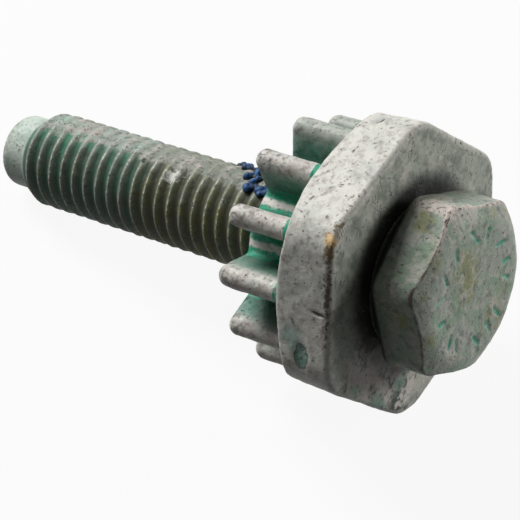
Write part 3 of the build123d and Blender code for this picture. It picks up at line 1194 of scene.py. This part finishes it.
def forged_zinc():
    """Zinc plating on a forging: chalky grey-white and freckled where it is rubbed, mint on the tooth flanks
    and saturated teal where its passivation is sheltered, in the tooth roots and beside the plate."""
    material, tree, shader, place = new_coating("teal_passivated_zinc")
    dots = partial(spots, tree, place)
    torn = partial(ragged, tree, place)
    marks = marks_of(tree, (
        "ridge", "recess", "leaf", "dent", "shelter", "flank", "crest", "green_crest", "tooth_end", "land",
        "front", "brim", "painted_head_shadow", "rubbed", "stained", "blistered", "teal_patch", "dirty_edge",
    ))
    freckles = both(tree, dots(0.6, 0.53, 0.74), dots(2.4, 0.4, 0.62))
    specks = both(tree, dots(0.3, 0.6, 0.68), dots(1.6, 0.42, 0.55))
    cracks = both(tree, hairlines(tree, place, 2.4, 0.028), marks["front"])
    chalk = laid_over(tree, linear("#D2D1C8"), (
        (dots(2.8, 0.46, 0.66), "#BDC0B9"),
        (dots(0.9, 0.5, 0.72), "#A29B95"),
        (marks["front"], "#A4A89D"),
        (both(tree, marks["front"], dots(1.5, 0.46, 0.62)), "#7C8379"),
        (both(tree, marks["front"], dots(2.3, 0.52, 0.68)), "#BCBAB0"),
    ))
    sheltered = torn(marks["shelter"], 0.45, 0.5)
    teal = laid_over(tree, linear("#0E8A69"), (
        (dots(0.8, 0.48, 0.62), "#36AE91"),
        # Painted shade: a darker teal in the recesses
        (both(tree, marks["recess"], dots(1.0, 0.4, 0.6)), "#0B6049"),
    ))
    mint = add_node(tree, MATH, (marks["flank"], 2.2), operation="MULTIPLY", use_clamp=True)
    patchy = add_node(tree, RANGE, {
        "Value": dots(1.6, 0.35, 0.65), "To Min": 0.72, "To Max": 0.98,
    })
    edge_dirt = both(tree, marks["brim"], both(tree, marks["dirty_edge"], 1.25))
    leaf_rim = torn(both(tree, marks["leaf"], 1.6), 0.4, 0.6)
    leaf_inside = torn(marks["leaf"], 0.4, 0.7)
    leaf = laid_over(tree, linear("#63857A"), (
        (dots(0.5, 0.46, 0.56), "#8FA89D"),
        (dots(0.4, 0.52, 0.6), "#45594F"),
    ))
    blisters = laid_over(tree, linear("#C8C1BA"), (
        (dots(2.4, 0.5, 0.6), "#83A08F"),
        (dots(1.3, 0.56, 0.68), "#8F857E"),
        (dots(0.6, 0.56, 0.68), "#666C66"),
        (hairlines(tree, place, 1.9, 0.16), "#2F3830"),
    ))
    colour = laid_over(tree, chalk, (
        (both(tree, mint, patchy), "#86A899"),
        (both(tree, marks["flank"], patchy), "#1B5F4C"),
        (marks["land"], "#D8D0CB"),
        (both(tree, marks["crest"], dots(0.9, 0.46, 0.64)), "#BDB4AE"),
        (both(tree, marks["crest"], dots(0.5, 0.54, 0.7)), "#766B67"),
        (both(tree, torn(marks["green_crest"], 0.8, 0.5), 0.8), "#93A096"),
        (sheltered, teal),
        (both(tree, marks["ridge"], dots(0.7, 0.38, 0.5)), "#D8D3CC"),
        (both(tree, marks["tooth_end"], dots(0.6, 0.46, 0.6)), "#7B7872"),
        (freckles, "#7F7875"),
        (specks, "#68615E"),
        (cracks, "#757870"),
        # Painted shade: grey-green darkening in the recesses
        (both(tree, marks["recess"], dots(0.8, 0.4, 0.6)), "#54605A"),
        (torn(both(tree, marks["blistered"], 1.5), 0.9, 0.4), blisters),
        (both(tree, torn(marks["teal_patch"], 0.5, 0.8), 0.7), "#94AEA2"),
        (torn(marks["dent"], 0.5, 0.4), "#4A4E47"),
        (leaf_rim, "#535D55"),
        (leaf_inside, leaf),
        (torn(edge_dirt, 0.35, 0.7), "#4A4038"),
        # Painted shadow: near black on the plate's front round the bolt head, where the head shades it
        (marks["painted_head_shadow"], "#141610"),
        (torn(marks["stained"], 0.4, 0.7), "#66583F"),
        (torn(marks["rubbed"], 0.45, 0.9), "#B98A55"),
        # Pale centre of the rubbed spot: bare metal, with a painted highlight on it
        (torn(both(tree, marks["rubbed"], 0.8), 0.3, 0.7), "#F2D3A0"),
    ))
    rough_coat(tree, shader, place, colour, 0.45, 0.06, ((specks, 0.6), (cracks, 0.5)))
    return material


def blue_nylon():
    """Nylon powder melted onto the thread: deep cobalt grains with a soft satin shine, and painted shade that
    makes them almost black low in the gaps."""
    material, tree, shader, place = new_coating("cobalt_nylon_powder")
    dots = partial(spots, tree, place)
    marks = marks_of(tree, ("crown",))
    grain = laid_over(tree, linear("#0A3763"), (
        (dots(0.7, 0.46, 0.64), "#145C99"),
        (dots(0.5, 0.54, 0.7), "#06223B"),
    ))
    # Painted shade: near black low down between the grains, cobalt on their crowns
    colour = laid_over(tree, linear("#020C17"), ((marks["crown"], grain),))
    tree.links.new(colour, shader.inputs["Base Color"])
    shader.inputs["Roughness"].default_value = 0.5
    shader.inputs["Specular IOR Level"].default_value = 0.3
    return material


# Stage

CAMERA_PLACE = (-86.03, 113.84, 150.57)
CAMERA_AHEAD = (0.4125, -0.5598, -0.7186)
CAMERA_UP = (0.4212, -0.5822, 0.6954)
SENSOR_WIDTH = 36.0

# Lamps: name, where it stands from the middle of the part in millimetres, width and power in watts
LAMPS = (
    ("tip_side_box", (234, -43, 228), 150, 1.3),
    ("head_side_box", (-223, -233, 90), 130, 0.72),
)
WORLD_STRENGTH = 0.035

# How much of the floor that the camera and the reflections see is its own white rather than lamplight
FLOOR_GLOW = 0.92


def seen_directly(tree):
    """1 for the rays of the camera, of reflections and through glass, and 0 for those that light the part."""
    path = add_node(tree, "ShaderNodeLightPath").outputs
    seen = add_node(tree, MATH, (path["Is Camera Ray"], path["Is Glossy Ray"]), operation="MAXIMUM")
    return add_node(tree, MATH, (seen, path["Is Transmission Ray"]), operation="MAXIMUM")


def pale_floor(tone, dim):
    """Matt pale floor that the camera and reflections see almost white, and that throws up little light."""
    material, tree = bare_material("pale_floor")
    seen = seen_directly(tree)
    share = add_node(tree, MATH, (seen, FLOOR_GLOW), operation="MULTIPLY")
    lit = add_node(tree, "ShaderNodeMix", {0: seen, 6: (*dim, 1.0), 7: (*tone, 1.0)}, data_type="RGBA")
    matt = add_node(tree, "ShaderNodeBsdfDiffuse", {"Color": lit.outputs[2]})
    white = add_node(tree, "ShaderNodeEmission", {"Color": (1.0, 1.0, 1.0, 1.0), "Strength": 1.0})
    mixed = add_node(tree, "ShaderNodeMixShader", (share, matt, white))
    add_node(tree, "ShaderNodeOutputMaterial", {"Surface": mixed})
    return material


def add_camera(focal_length):
    """The camera of the photograph: level, looking down on the part past its head."""
    data = bpy.data.cameras.new("photo_camera")
    data.sensor_width = SENSOR_WIDTH
    data.lens = focal_length
    data.clip_start = 0.01
    camera = bpy.data.objects.new("photo_camera", data)
    ahead = Vector(CAMERA_AHEAD).normalized()
    right = ahead.cross(Vector(CAMERA_UP)).normalized()
    turned = Matrix((right, right.cross(ahead), -ahead)).transposed().to_4x4()
    camera.matrix_world = Matrix.Translation(Vector(CAMERA_PLACE) * MM) @ turned
    bpy.context.scene.collection.objects.link(camera)
    bpy.context.scene.camera = camera


class TENSIONER_OT_stage(Operator):
    """Make the floor, the soft lamps and the camera"""

    bl_idname = "tensioner.stage"
    bl_label = "Make the stage"

    def execute(self, context):
        sizes = context.scene.tensioner_stage
        half = sizes.floor_width / 2
        ground = cad_bounds[0][2]
        mesh = bpy.data.meshes.new("floor")
        corners = [(-half, -half, ground), (half, -half, ground), (half, half, ground), (-half, half, ground)]
        mesh.from_pydata(corners, [], [(0, 1, 2, 3)])
        mesh.materials.append(pale_floor(sizes.floor_tone, sizes.floor_bounce))
        object_of("floor", mesh)
        for name, place, width, watts in LAMPS:
            lamp = bpy.data.lights.new(name, "AREA")
            lamp.size = width * MM
            lamp.energy = watts
            holder = bpy.data.objects.new(name, lamp)
            holder.location = Vector(place) * MM
            holder.rotation_euler = (-holder.location).to_track_quat("-Z", "Y").to_euler()
            context.scene.collection.objects.link(holder)
        world = bpy.data.worlds.new("studio")
        world.use_nodes = True
        context.scene.world = world
        tree = world.node_tree
        tree.nodes.clear()
        strength = add_node(tree, RANGE, {
            "Value": seen_directly(tree), "To Min": WORLD_STRENGTH, "To Max": 1.0,
        })
        glow = add_node(tree, "ShaderNodeBackground", {"Color": (1.0, 1.0, 1.0, 1.0), "Strength": strength})
        add_node(tree, "ShaderNodeOutputWorld", {"Surface": glow})
        context.scene.view_settings.view_transform = "Standard"
        add_camera(sizes.focal_length)
        return {"FINISHED"}


class TENSIONER_PT_panel(Panel):
    """Buttons for the tensioning bolt's pieces"""

    bl_idname = "TENSIONER_PT_panel"
    bl_label = "Tensioning bolt"
    bl_space_type = "VIEW_3D"
    bl_region_type = "UI"
    bl_category = "Tensioning bolt"

    def draw(self, context):
        for operator, settings in STEPS:
            box = self.layout.box()
            box.operator(operator)
            group = getattr(context.scene, settings)
            for name in group.__annotations__:
                box.prop(group, name)


STEPS = (
    ("tensioner.bolt", "tensioner_bolt"),
    ("tensioner.pinion", "tensioner_pinion"),
    ("tensioner.locking_patch", "tensioner_patch"),
    ("tensioner.stage", "tensioner_stage"),
)
GROUPS = {
    "tensioner_bolt": BoltSizes,
    "tensioner_pinion": PinionSizes,
    "tensioner_patch": PatchSizes,
    "tensioner_stage": StageSizes,
}
CLASSES = (
    *GROUPS.values(),
    TENSIONER_OT_bolt,
    TENSIONER_OT_pinion,
    TENSIONER_OT_locking_patch,
    TENSIONER_OT_stage,
    TENSIONER_PT_panel,
)


def register():
    for kind in CLASSES:
        bpy.utils.register_class(kind)
    for name, group in GROUPS.items():
        setattr(bpy.types.Scene, name, PointerProperty(type=group))


def unregister():
    for name in GROUPS:
        delattr(bpy.types.Scene, name)
    for kind in reversed(CLASSES):
        bpy.utils.unregister_class(kind)


def main():
    register()
    bpy.ops.tensioner.bolt()
    bpy.ops.tensioner.pinion()
    bpy.ops.tensioner.locking_patch()
    bpy.ops.tensioner.stage()


if __name__ == "__main__":
    main()
